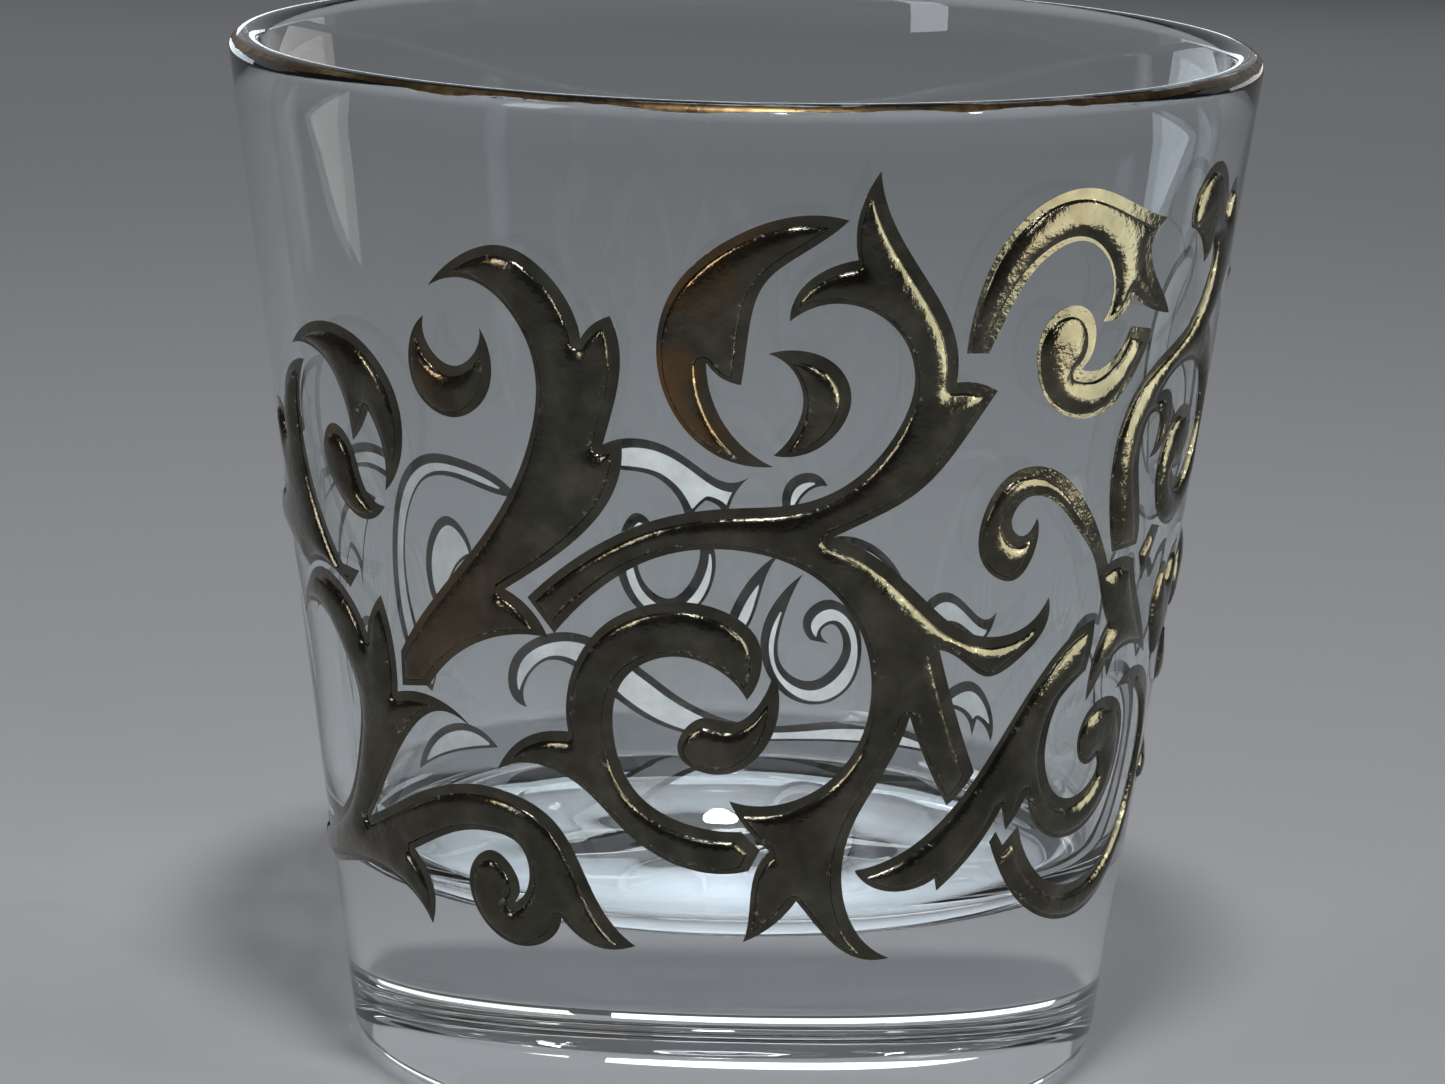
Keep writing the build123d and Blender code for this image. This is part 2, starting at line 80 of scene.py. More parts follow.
# The glass, in millimetres. Its height and its two radii come from the frame.
WALL = 2.7               # thickness of the wall
BASE = 17.5              # height of the bowl's floor
LIP = 1.25               # rounding of the lip's outer side
INNER_LIP = 1.24875      # rounding of the lip's inner side
HEEL = 2.6               # rounding under the wall
BOWL_CORNER = 5.0        # rounding between the bowl's wall and floor
FOOT_RING = 6.0          # width of the ring that the tumbler stands on
PUNT = 1.2               # height of the hollow within that ring
WAVE = 0.06              # how uneven the inside of the bowl is
WAVE_FADE = 8.0          # distance from the lip, and from the axis, over which that fades out
GLASS_STEPS = 288        # steps round the glass
GLASS_SPACING = 3.0      # longest edge along the glass's section

# The gilt line.
GILT_STEPS = 900         # steps round the lip
GILT_ACROSS = 7          # points across the line
GILT_SHARP = 40.0        # degrees between faces from which an edge of the line is sharp

# How strong a painted amber reflection, standing in for warm light from the left, is on each scroll's lustre.
USUAL_PAINTED_AMBER = 0.08
PAINTED_AMBER = {
    "crown_leaf": 1.0,
    "hook_leaf": 0.4,
    "cup_crescent": 0.4,
    "left_hook": 0.5,
    "left_comma": 0.7,
    "left_stem": 0.3,
    "left_trunk": 0.35,
}

# The stage.
GLOW = 1.2               # how brightly the floor glows under the tumbler
GLOW_REACH = 0.0315      # how far out the glow reaches, in metres
FLOOR_HALF = 3.0         # half the floor's side, in metres
FLOOR_DROP = 0.0002      # how far the floor lies under the foot, in metres, to keep their faces apart


# ---------------------------------------------------------------- the tumbler's sizes, from the frame
def points_of(node):
    """A CAD node's points, in millimetres."""
    mesh = frame["nodes"][node].data
    points = np.zeros(len(mesh.vertices) * 3)
    mesh.vertices.foreach_get("co", points)
    return points.reshape(-1, 3) / MM


def find_wall(skins):
    """Radius at the foot, and slope, of the wall that the skins lie on."""
    points = np.vstack([points_of(node) for node in skins])
    radius = np.hypot(points[:, 0], points[:, 1])
    height = points[:, 2]
    low = height.min()
    high = height.max()
    low_radius = radius[height < low + ON_WALL].min()
    high_radius = radius[height > high - ON_WALL].min()
    slope = (high_radius - low_radius) / (high - low)
    return low_radius - slope * low, slope


SKINS = sorted(node for node in frame["nodes"] if node.endswith("_skin"))
FOOT_RADIUS, SLOPE = find_wall(SKINS)
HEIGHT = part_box("glass_body")[1].z / MM
RIM_RADIUS = FOOT_RADIUS + SLOPE * HEIGHT
LEAN = math.atan(SLOPE)


def wall_radius(height):
    return FOOT_RADIUS + SLOPE * height


# ---------------------------------------------------------------- unrolling the wall
def unroll(points, middle):
    """Points as distance round the wall from `middle`, distance up it, and distance off it."""
    around = np.arctan2(points[:, 0], -points[:, 1]) - middle
    around = (around + math.pi) % (2 * math.pi) - math.pi
    radius = np.hypot(points[:, 0], points[:, 1])
    on_wall = wall_radius(points[:, 2])
    return np.column_stack([around * on_wall, points[:, 2], radius - on_wall])


def roll(flat, off, middle):
    """Flat points, lifted off the wall by `off`, back in place and in metres."""
    radius = wall_radius(flat[:, 1])
    around = flat[:, 0] / radius + middle
    lifted = radius + off * math.cos(LEAN)
    return np.column_stack([
        lifted * np.sin(around),
        -lifted * np.cos(around),
        flat[:, 1] - off * math.sin(LEAN),
    ]) * MM


def middle_of(points):
    """Direction, round the axis, in which a piece lies."""
    return math.atan2(points[:, 0].mean(), -points[:, 1].mean())


def wall_outlines(node, middle):
    """Closed outlines of the face with which a node lies on the wall, the largest first."""
    mesh = frame["nodes"][node].data
    flat = unroll(points_of(node), middle)
    keys = np.round(flat / WELD).astype(np.int64)
    first, same = np.unique(keys, axis=0, return_index=True, return_inverse=True)[1:]
    same = same.reshape(-1)
    flat = flat[first]
    counts = {}
    for face in mesh.polygons:
        corners = [same[index] for index in face.vertices]
        if max(abs(flat[corner, 2]) for corner in corners) > ON_WALL:
            continue
        for start, end in zip(corners, corners[1:] + corners[:1]):
            edge = (min(start, end), max(start, end))
            counts[edge] = counts.get(edge, 0) + 1
    beside = {}
    for (start, end), count in counts.items():
        if count == 1:
            beside.setdefault(start, []).append(end)
            beside.setdefault(end, []).append(start)
    outlines = []
    left = set(beside)
    while left:
        first_point = min(left)
        chain = [first_point]
        left.discard(first_point)
        while True:
            onward = [index for index in beside[chain[-1]] if index in left]
            if not onward:
                break
            chain.append(onward[0])
            left.discard(onward[0])
        outlines.append(flat[chain, :2])
    outlines.sort(key=lambda outline: -abs(area_of(outline)))
    return outlines


def area_of(outline):
    x, y = outline[:, 0], outline[:, 1]
    return 0.5 * float(np.sum(x * np.roll(y, -1) - y * np.roll(x, -1)))


def divided(outline, step):
    """An outline run anticlockwise, with no edge longer than `step`."""
    if area_of(outline) < 0:
        outline = outline[::-1]
    points = []
    for start, end in zip(outline, np.roll(outline, -1, axis=0)):
        length = float(np.hypot(*(end - start)))
        count = max(1, math.ceil(length / step))
        points += [start + (end - start) * index / count for index in range(count)]
    return np.array(points)


def distance_to(points, outline):
    """Distance from each point to a closed outline, positive inside it."""
    start = outline
    along = np.roll(outline, -1, axis=0) - start
    length = np.maximum((along ** 2).sum(1), 1e-12)
    nearest = np.full(len(points), np.inf)
    crossings = np.zeros(len(points), int)
    for block in range(0, len(points), 2000):
        part = points[block:block + 2000]
        gap = part[:, None, :] - start[None]
        share = np.clip((gap * along[None]).sum(2) / length, 0, 1)
        off = gap - share[..., None] * along[None]
        nearest[block:block + 2000] = np.sqrt((off ** 2).sum(2)).min(1)
        above = start[None, :, 1] > part[:, None, 1]
        next_above = (start + along)[None, :, 1] > part[:, None, 1]
        rise = np.where(np.abs(along[:, 1]) < 1e-12, 1e-12, along[:, 1])
        crossing = start[None, :, 0] + (part[:, None, 1] - start[None, :, 1]) / rise[None] * along[None, :, 0]
        hits = (above != next_above) & (part[:, None, 0] < crossing)
        crossings[block:block + 2000] = hits.sum(1)
    return np.where(crossings % 2 == 1, nearest, -nearest)


def ring_inside(outline, depth):
    """Points a set distance in from an outline, where there is room for them."""
    before = np.roll(outline, 1, axis=0)
    after = np.roll(outline, -1, axis=0)
    along = after - before
    along /= np.maximum(np.hypot(along[:, 0], along[:, 1]), 1e-9)[:, None]
    inward = np.column_stack([-along[:, 1], along[:, 0]])
    moved = outline + inward * depth
    return moved[distance_to(moved, outline) > depth * 0.93]


def grid_inside(outline, depth):
    """Points of a triangular grid at least `depth` in from an outline."""
    low = outline.min(0)
    high = outline.max(0)
    row_step = GRID_STEP * math.sqrt(3) / 2
    rows = np.arange(low[1], high[1], row_step)
    columns = np.arange(low[0], high[0], GRID_STEP)
    points = [
        (column + (GRID_STEP / 2 if index % 2 else 0), row)
        for index, row in enumerate(rows) for column in columns
    ]
    points = np.array(points)
    return points[distance_to(points, outline) > depth]


# ---------------------------------------------------------------- relief of one scroll
def blurred(values, rounds):
    """A grid of values, each averaged with its neighbours a few times."""
    for step in range(rounds):
        padded = np.pad(values, 1)
        values = (padded[:-2, 1:-1] + padded[2:, 1:-1] + padded[1:-1, :-2] + padded[1:-1, 2:] + values) / 5
    return values


def half_width(flat, outline):
    """Half the local width of a bead at each point, from how a liquid film settles inside its outline."""
    low = outline.min(0) - 2 * CELL
    high = outline.max(0) + 2 * CELL
    columns = np.arange(low[0], high[0] + CELL, CELL)
    rows = np.arange(low[1], high[1] + CELL, CELL)
    across, up = np.meshgrid(columns, rows)
    depth = distance_to(np.column_stack([across.ravel(), up.ravel()]), outline).reshape(across.shape)
    inside = depth > 0
    film = np.zeros_like(depth)
    for step in range(SETTLE_STEPS):
        padded = np.pad(film, 1)
        around = padded[:-2, 1:-1] + padded[2:, 1:-1] + padded[1:-1, :-2] + padded[1:-1, 2:]
        film = np.where(inside, (around + CELL ** 2) / 4, 0.0)
    sure = (depth > CELL * 1.2).astype(float)
    width = film / np.maximum(depth, CELL) + depth / 2
    width = blurred(width * sure, 6) / np.maximum(blurred(sure, 6), 1e-6)
    column = np.clip((flat[:, 0] - low[0]) / CELL, 0, len(columns) - 1.001)
    row = np.clip((flat[:, 1] - low[1]) / CELL, 0, len(rows) - 1.001)
    left, below = column.astype(int), row.astype(int)
    right_share, up_share = column - left, row - below
    lower = width[below, left] * (1 - right_share) + width[below, left + 1] * right_share
    upper = width[below + 1, left] * (1 - right_share) + width[below + 1, left + 1] * right_share
    return np.maximum(lower * (1 - up_share) + upper * up_share, NARROWEST)


def crest(depth, width, flat, seed):
    """Height of a bead's enamel at a distance in from its edge, where it is `width` to its middle."""
    share = np.clip(depth / width, 0, 1)
    domed = np.sqrt(share * (2 - share))
    full = 1 - np.exp(-width / FULL_WIDTH)
    lumps = np.array([
        noise.noise(Vector((x * 0.55, y * 0.55, seed))) + 0.5 * noise.noise(Vector((x * 1.7, y * 1.7, seed)))
        for x, y in flat
    ])
    return (BEAD_RISE - FILM) * full * domed * (1 + LUMP * lumps)


def mesh_between(name, flat, triangles, low, high, middle, depth, warmth):
    """Closed mesh between two heights off the wall, over a patch of triangles.

    Its points keep how far in from the bead's edge they are, and how strong a painted amber reflection they
    carry. That painted reflection is strongest on the left and fades out to the right.
    """
    used = sorted({index for triangle in triangles for index in triangle})
    place = {index: order for order, index in enumerate(used)}
    flat = flat[used]
    top = roll(flat, high[used], middle)
    bottom = roll(flat, low[used], middle)
    count = len(used)
    faces = []
    edges = {}
    for triangle in triangles:
        corners = [place[index] for index in triangle]
        faces.append(corners)
        faces.append([corner + count for corner in reversed(corners)])
        for start, end in zip(corners, corners[1:] + corners[:1]):
            edges[(start, end)] = True
    for start, end in edges:
        if (end, start) not in edges:
            faces.append([end, start, start + count, end + count])
    mesh = bpy.data.meshes.new(name)
    mesh.from_pydata(np.vstack([top, bottom]).tolist(), [], faces)
    mesh.validate()
    depths = mesh.attributes.new("bead_depth", "FLOAT", "POINT")
    depths.data.foreach_set("value", np.concatenate([depth[used], depth[used]]).astype(np.float32))
    # Painted amber reflection of warm light from the left: strongest at the piece's left, fading to none
    # towards its right.
    tones = mesh.attributes.new("warmth", "FLOAT", "POINT")
    leftness = (flat[:, 0].max() - flat[:, 0]) / np.ptp(flat[:, 0])
    left_amber_sheen = warmth * np.clip(1.8 * leftness - 0.5, 0.0, 1.0)
    tones.data.foreach_set("value", np.concatenate([left_amber_sheen, left_amber_sheen]).astype(np.float32))
    mesh.shade_smooth()
    mesh.set_sharp_from_angle(angle=math.radians(SCROLL_SHARP))
    piece = bpy.data.objects.new(name, mesh)
    bpy.context.scene.collection.objects.link(piece)
    return piece


def build_scroll(node, seed):
    """Metal skin and enamel bead of one scroll."""
    middle = middle_of(points_of(node))
    outer, bead = wall_outlines(node, middle)[:2]
    outer = divided(outer, OUTLINE_STEP)
    bead = divided(bead, OUTLINE_STEP)
    rings = [ring_inside(bead, depth) for depth in BEAD_RINGS]
    grid = grid_inside(bead, BEAD_RINGS[-1] + GRID_STEP * 0.5)
    flat = np.vstack([outer, bead] + rings + [grid])
    loop_edges = [(index, (index + 1) % len(outer)) for index in range(len(outer))]
    loop_edges += [(len(outer) + index, len(outer) + (index + 1) % len(bead)) for index in range(len(bead))]
    points, edges, triangles = geometry.delaunay_2d_cdt(
        [Vector(point) for point in flat], loop_edges, [], 1, 1e-5)[:3]
    flat = np.array([tuple(point) for point in points])
    depth = distance_to(flat, bead)
    depth[np.abs(depth) < 0.004] = 0.0
    raised = crest(np.maximum(depth, 0), half_width(flat, bead), flat, seed)
    enamel_top = np.where(depth > 0, raised, 0.0)
    metal_low = np.where(depth > 0, enamel_top, -BOND)
    metal_top = enamel_top + FILM
    metal = mesh_between(node[:-5] + "_lustre", flat, triangles, metal_low, metal_top, middle, depth,
                         PAINTED_AMBER.get(node[:-5], USUAL_PAINTED_AMBER))
    inner = [triangle for triangle in triangles if min(depth[index] for index in triangle) >= 0
             and max(depth[index] for index in triangle) > 0]
    enamel_low = np.full(len(flat), -2 * BOND)
    enamel_high = enamel_top + FILM / 2
    enamel = mesh_between(node[:-5] + "_enamel", flat, inner, enamel_low, enamel_high, middle, depth, 0.0)
    return metal, enamel


# ---------------------------------------------------------------- materials
def new_material(name):
    """An empty material with its Principled shader."""
    material = bpy.data.materials.new(name)
    material.use_nodes = True
    shader = material.node_tree.nodes["Principled BSDF"]
    return material, material.node_tree, shader


def add_node(tree, kind, **settings):
    node = tree.nodes.new(kind)
    for key, value in settings.items():
        if key in node.inputs:
            node.inputs[key].default_value = value
        else:
            setattr(node, key, value)
    return node


def noise_at(tree, scale, detail=2.0, roughness=0.5):
    """Noise over the object, with `scale` lumps in a metre."""
    coordinates = add_node(tree, "ShaderNodeTexCoord")
    texture = add_node(tree, "ShaderNodeTexNoise", Scale=scale, Detail=detail, Roughness=roughness)
    tree.links.new(coordinates.outputs["Object"], texture.inputs["Vector"])
    return texture.outputs["Fac"]


def ramp(tree, value, stops):
    """Colour ramp over a value. Each stop is (place, colour)."""
    node = add_node(tree, "ShaderNodeValToRGB")
    elements = node.color_ramp.elements
    while len(elements) < len(stops):
        elements.new(0.5)
    for element, (place, colour) in zip(elements, stops):
        element.position = place
        element.color = colour
    tree.links.new(value, node.inputs["Fac"])
    return node.outputs["Color"]


def grey(value):
    return (value, value, value, 1.0)


def math_of(tree, operation, first, second):
    node = add_node(tree, "ShaderNodeMath", operation=operation)
    for index, value in enumerate((first, second)):
        if isinstance(value, (int, float)):
            node.inputs[index].default_value = value
        else:
            tree.links.new(value, node.inputs[index])
    return node.outputs[0]


def mix_colour(tree, share, first, second):
    node = add_node(tree, "ShaderNodeMix", data_type="RGBA")
    for socket, value in ((node.inputs[0], share), (node.inputs[6], first), (node.inputs[7], second)):
        if isinstance(value, (int, float, tuple)):
            socket.default_value = value
        else:
            tree.links.new(value, socket)
    return node.outputs[2]


def bump(tree, height, distance, strength=1.0, normal=None):
    node = add_node(tree, "ShaderNodeBump", Strength=strength, Distance=distance)
    tree.links.new(height, node.inputs["Height"])
    if normal is not None:
        tree.links.new(normal, node.inputs["Normal"])
    return node.outputs["Normal"]


def bead_depth(tree):
    """Distance in from a bead's edge, in millimetres."""
    return add_node(tree, "ShaderNodeAttribute", attribute_name="bead_depth").outputs["Fac"]


def lustre_material():
    """Dark gold-gunmetal lustre: olive brown, mottled, pitted along the beads' edges, with a painted amber
    reflection on the left of some scrolls.
    """
    material, tree, shader = new_material("lustre_fired")
    cloud = noise_at(tree, 260.0, 4.0, 0.6)
    speck = noise_at(tree, 2600.0, 2.0, 0.5)
    body = ramp(tree, cloud, [(0.30, (0.056, 0.053, 0.041, 1)), (0.52, (0.092, 0.087, 0.068, 1)),
                              (0.74, (0.145, 0.136, 0.106, 1))])
    depth = bead_depth(tree)
    at_edge = add_node(tree, "ShaderNodeMapRange", **{"From Min": -0.10, "From Max": 0.55})
    tree.links.new(depth, at_edge.inputs["Value"])
    edge = ramp(tree, at_edge.outputs[0], [(0.0, grey(0)), (0.16, grey(1)),
                                           (0.6, grey(0.45)), (1.0, grey(0))])
    pits = math_of(tree, "MULTIPLY", ramp(tree, speck, [(0.58, grey(0)), (0.68, grey(1))]),
                   ramp(tree, noise_at(tree, 330.0, 2.0), [(0.46, grey(0.0)), (0.60, grey(1))]))
    pitted = math_of(tree, "MULTIPLY", edge, pits)
    # Painted amber reflection of warm light from the left, broken into random patches, mixed over the
    # lustre's own colour.
    warmth = add_node(tree, "ShaderNodeAttribute", attribute_name="warmth").outputs["Fac"]
    patches = ramp(tree, noise_at(tree, 110.0, 3.0), [(0.42, grey(0.05)), (0.60, grey(1.0))])
    with_amber_sheen = mix_colour(tree, math_of(tree, "MULTIPLY", warmth, patches), body, (0.20, 0.115, 0.050, 1.0))
    colour = mix_colour(tree, pitted, with_amber_sheen, (0.50, 0.46, 0.36, 1.0))
    tree.links.new(colour, shader.inputs["Base Color"])
    shader.inputs["Metallic"].default_value = 1.0
    rough = ramp(tree, cloud, [(0.3, grey(0.11)), (0.7, grey(0.22))])
    tree.links.new(math_of(tree, "ADD", rough, math_of(tree, "MULTIPLY", pitted, 0.25)),
                   shader.inputs["Roughness"])
    ripple = bump(tree, noise_at(tree, 950.0, 3.0, 0.6), 0.00008, 0.9)
    grain = bump(tree, speck, 0.000025, 0.8, ripple)
    tree.links.new(grain, shader.inputs["Normal"])
    return material


def enamel_material():
    """Off-white fused enamel with a faint grey mottle."""
    material, tree, shader = new_material("enamel_fused")
    cloud = noise_at(tree, 420.0, 3.0, 0.6)
    colour = ramp(tree, cloud, [(0.3, (0.62, 0.63, 0.62, 1)), (0.7, (0.86, 0.86, 0.83, 1))])
    tree.links.new(colour, shader.inputs["Base Color"])
    rough = ramp(tree, cloud, [(0.3, grey(0.30)), (0.7, grey(0.46))])
    tree.links.new(rough, shader.inputs["Roughness"])
    tree.links.new(bump(tree, noise_at(tree, 1500.0, 2.0), 0.00004, 0.5), shader.inputs["Normal"])
    return material


def gilt_material():
    """Worn gold line: copper brown to bright gold."""
    material, tree, shader = new_material("gilt_worn")
    cloud = noise_at(tree, 120.0, 5.0, 0.65)
    colour = ramp(tree, cloud, [(0.36, (0.10, 0.066, 0.036, 1)), (0.52, (0.26, 0.165, 0.070, 1)),
                                (0.68, (0.56, 0.43, 0.21, 1))])
    tree.links.new(colour, shader.inputs["Base Color"])
    shader.inputs["Metallic"].default_value = 1.0
    rough = ramp(tree, noise_at(tree, 900.0, 3.0), [(0.3, grey(0.22)), (0.7, grey(0.45))])
    tree.links.new(rough, shader.inputs["Roughness"])
    tree.links.new(bump(tree, noise_at(tree, 2200.0, 2.0), 0.00003, 0.7), shader.inputs["Normal"])
    return material


def glass_material():
    """Clear glass with faint mould waviness."""
    material, tree, shader = new_material("glass_clear")
    shader.inputs["Base Color"].default_value = (0.93, 0.955, 0.965, 1.0)
    shader.inputs["Roughness"].default_value = 0.0
    shader.inputs["IOR"].default_value = 1.51
    shader.inputs["Transmission Weight"].default_value = 1.0
    tree.links.new(bump(tree, noise_at(tree, 45.0, 2.0), 0.00006, 0.35), shader.inputs["Normal"])
    return material


def floor_material():
    """Plain pale floor with a painted pool of light: it emits softly where the tumbler stands."""
    material, tree, shader = new_material("floor_pale")
    shader.inputs["Base Color"].default_value = (0.61, 0.61, 0.61, 1.0)
    shader.inputs["Roughness"].default_value = 0.8
    coordinates = add_node(tree, "ShaderNodeTexCoord")
    length = add_node(tree, "ShaderNodeVectorMath", operation="LENGTH")
    tree.links.new(coordinates.outputs["Object"], length.inputs[0])
    far = add_node(tree, "ShaderNodeMapRange", **{"From Min": 0.0, "From Max": GLOW_REACH})
    tree.links.new(length.outputs["Value"], far.inputs["Value"])
    # Painted pool of light: emission brightest under the tumbler, fading to none at GLOW_REACH.
    glow = ramp(tree, far.outputs[0], [(0.0, grey(1.0)), (0.40, grey(0.55)),
                                       (0.80, grey(0.32)), (1.0, grey(0))])
    shader.inputs["Emission Color"].default_value = (0.80, 0.90, 1.0, 1.0)
    tree.links.new(math_of(tree, "MULTIPLY", glow, GLOW), shader.inputs["Emission Strength"])
    return material


LUSTRE = lustre_material()
ENAMEL = enamel_material()
GILT = gilt_material()
GLASS = glass_material()


def finish_piece(piece, material, slot, *nodes):
    piece.data.materials.clear()
    piece.data.materials.append(material)
    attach(piece, "root")
    if nodes:
        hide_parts(*nodes)


def join(pieces, name):
    """One piece made of several."""
    with bpy.context.temp_override(active_object=pieces[0], selected_editable_objects=pieces,
                                   selected_objects=pieces, object=pieces[0]):
        bpy.ops.object.join()
    pieces[0].name = name
    pieces[0].data.name = name
    return pieces[0]


# ---------------------------------------------------------------- scrollwork
back_enamels = []
for order, node in enumerate(SKINS):
    metal, enamel = build_scroll(node, seed=3.7 * order)
    finish_piece(metal, LUSTRE, "lustre", node)
    bead_node = node[:-5] + "_bead"
    if bead_node in frame["nodes"]:
        finish_piece(enamel, ENAMEL, "enamel", bead_node)
    else:
        back_enamels.append(enamel)
finish_piece(join(back_enamels, "back_enamels"), ENAMEL, "enamel", "back_beads")


# ---------------------------------------------------------------- gilt line
def build_gilt():
    """Worn ragged film on the outer shoulder of the lip."""
    points = points_of("gilt_line")
    radius = np.hypot(points[:, 0], points[:, 1])
    centre_height = HEIGHT - LIP
    centre_radius = wall_radius(centre_height) - LIP / math.cos(LEAN)
    angles = np.degrees(np.arctan2(points[:, 2] - centre_height, radius - centre_radius))
    first, last = angles.min(), angles.max()
    rows = []
    for step in range(GILT_STEPS):
        turn = 2 * math.pi * step / GILT_STEPS
        slow = Vector((math.sin(turn) * 5.0, -math.cos(turn) * 5.0, 0.0))
        fine = Vector((math.sin(turn) * 22.0, -math.cos(turn) * 22.0, 4.0))
        wear = 0.5 + 0.6 * noise.noise(slow)
        ragged = noise.noise(fine) + 0.5 * noise.noise(fine * 2.3)
        base = first + (last - first) * min(0.72, max(0.05, 0.80 * wear + 0.07 * ragged))
        top = last - (last - first) * max(0.0, 0.10 + 0.05 * ragged)
        rows.append((turn, base, max(top, base + 1.0)))
    verts = []
    for lift in (FILM, -BOND):
        for turn, base, top in rows:
            for index in range(GILT_ACROSS):
                angle = math.radians(base + (top - base) * index / (GILT_ACROSS - 1))
                r = centre_radius + (LIP + lift) * math.cos(angle)
                z = centre_height + (LIP + lift) * math.sin(angle)
                verts.append((r * math.sin(turn) * MM, -r * math.cos(turn) * MM, z * MM))
    faces = []
    half = GILT_STEPS * GILT_ACROSS
    for step in range(GILT_STEPS):
        after = (step + 1) % GILT_STEPS
        for index in range(GILT_ACROSS - 1):
            a = step * GILT_ACROSS + index
            b = after * GILT_ACROSS + index
            faces.append((a, b, b + 1, a + 1))
            faces.append((half + a + 1, half + b + 1, half + b, half + a))
        low_a = step * GILT_ACROSS
        low_b = after * GILT_ACROSS
        faces.append((low_b, low_a, half + low_a, half + low_b))
        top_a = low_a + GILT_ACROSS - 1
        top_b = low_b + GILT_ACROSS - 1
        faces.append((top_a, top_b, half + top_b, half + top_a))
    mesh = bpy.data.meshes.new("lip_gilt")
    mesh.from_pydata(verts, [], faces)
    mesh.validate()
    mesh.shade_smooth()
    mesh.set_sharp_from_angle(angle=math.radians(GILT_SHARP))
    piece = bpy.data.objects.new("lip_gilt", mesh)
    bpy.context.scene.collection.objects.link(piece)
    return piece


finish_piece(build_gilt(), GILT, "gilt", "gilt_line")


# ---------------------------------------------------------------- glass
def rounded(corners, radii, steps=10):
    """Points of an open outline whose inner corners are rounded by the given radii."""
    points = [corners[0]]
    for before, corner, after, radius in zip(corners, corners[1:], corners[2:], radii):
        back = (before - corner).normalized()
        onward = (after - corner).normalized()
        half = back.angle(onward) / 2
        centre = corner + (back + onward).normalized() * (radius / math.sin(half))
        reach = radius / math.tan(half)
        start = corner + back * reach - centre
        end = corner + onward * reach - centre
        sweep = start.angle_signed(end)
        for step in range(steps + 1):
            turned = start.copy()
            turned.rotate(Matrix.Rotation(-sweep * step / steps, 2))
            points.append(centre + turned)
    points.append(corners[-1])
    return points


def spread(points, step):
    """The same outline, with no run longer than `step`."""
    spaced = []
    for start, end in zip(points, points[1:]):
        count = max(1, math.ceil((end - start).length / step))
        spaced += [start.lerp(end, index / count) for index in range(count)]
    return spaced + [points[-1]]


def glass_outline():
    """Half section of the glass, from the middle of the punt round to the middle of the bowl's floor."""
    ring = FOOT_RADIUS - FOOT_RING
    punt = [
        Vector((ring * share, PUNT * (math.cos(math.pi * share) + 1) / 2))
        for share in np.linspace(0, 1, 16)
    ]
    corners = [
        Vector((ring, 0)),
        Vector((FOOT_RADIUS, 0)),
        Vector((RIM_RADIUS, HEIGHT)),
        Vector((RIM_RADIUS - WALL, HEIGHT)),
        Vector((wall_radius(BASE) - WALL, BASE)),
        Vector((0, BASE)),
    ]
    return spread(punt[:-1] + rounded(corners, (HEEL, LIP, INNER_LIP, BOWL_CORNER)), GLASS_SPACING)


def build_glass():
    """Clear tumbler, turned from its half section, with a slightly uneven bowl."""
    outline = glass_outline()
    verts = [(0, 0, outline[0].y * MM)]
    for point in outline[1:-1]:
        inside = point.x < wall_radius(point.y) - WALL * 0.9 and point.y > BASE * 0.9
        for index in range(GLASS_STEPS):
            turn = 2 * math.pi * index / GLASS_STEPS
            radius = point.x
            height = point.y
            if inside:
                wave = noise.noise(Vector((math.sin(turn) * 2.2, math.cos(turn) * 2.2, height * 0.045)))
                if height > BASE + BOWL_CORNER:
                    radius += WAVE * wave * min(1.0, (HEIGHT - height) / WAVE_FADE)
                else:
                    height += WAVE * wave * min(1.0, radius / WAVE_FADE)
            verts.append((radius * math.sin(turn) * MM, -radius * math.cos(turn) * MM, height * MM))
    verts.append((0, 0, outline[-1].y * MM))
    faces = []
    rows = len(outline) - 2
    last = len(verts) - 1
    for index in range(GLASS_STEPS):
        after = (index + 1) % GLASS_STEPS
        faces.append((0, 1 + after, 1 + index))
        for row in range(rows - 1):
            low = 1 + row * GLASS_STEPS
            high = low + GLASS_STEPS
            faces.append((low + index, low + after, high + after, high + index))
        top = 1 + (rows - 1) * GLASS_STEPS
        faces.append((top + index, top + after, last))
    mesh = bpy.data.meshes.new("glass_tumbler")
    mesh.from_pydata(verts, [], faces)
    mesh.validate()
    mesh.shade_smooth()
    piece = bpy.data.objects.new("glass_tumbler", mesh)
    bpy.context.scene.collection.objects.link(piece)
    return piece


glass = build_glass()
finish_piece(glass, GLASS, "glass", "glass_body")


# ---------------------------------------------------------------- stage, lights and camera
def build_floor():
    mesh = bpy.data.meshes.new("floor")
    corners = [(-FLOOR_HALF, -FLOOR_HALF, 0), (FLOOR_HALF, -FLOOR_HALF, 0),
               (FLOOR_HALF, FLOOR_HALF, 0), (-FLOOR_HALF, FLOOR_HALF, 0)]
    mesh.from_pydata(corners, [], [(0, 1, 2, 3)])
    mesh.materials.append(floor_material())
    floor = bpy.data.objects.new("floor", mesh)
    floor.location.z = -FLOOR_DROP
    bpy.context.scene.collection.objects.link(floor)


def build_world():
    """Dim room, lighter overhead."""
    world = bpy.data.worlds.new("room")
    world.use_nodes = True
    tree = world.node_tree
    coordinates = add_node(tree, "ShaderNodeTexCoord")
    split = add_node(tree, "ShaderNodeSeparateXYZ")
    tree.links.new(coordinates.outputs["Generated"], split.inputs[0])
    sky = ramp(tree, split.outputs["Z"], [(0.0, (0.085, 0.086, 0.089, 1)), (0.40, (0.072, 0.073, 0.077, 1)),
                                          (1.0, (0.12, 0.122, 0.13, 1))])
    tree.links.new(sky, tree.nodes["Background"].inputs["Color"])
    bpy.context.scene.world = world


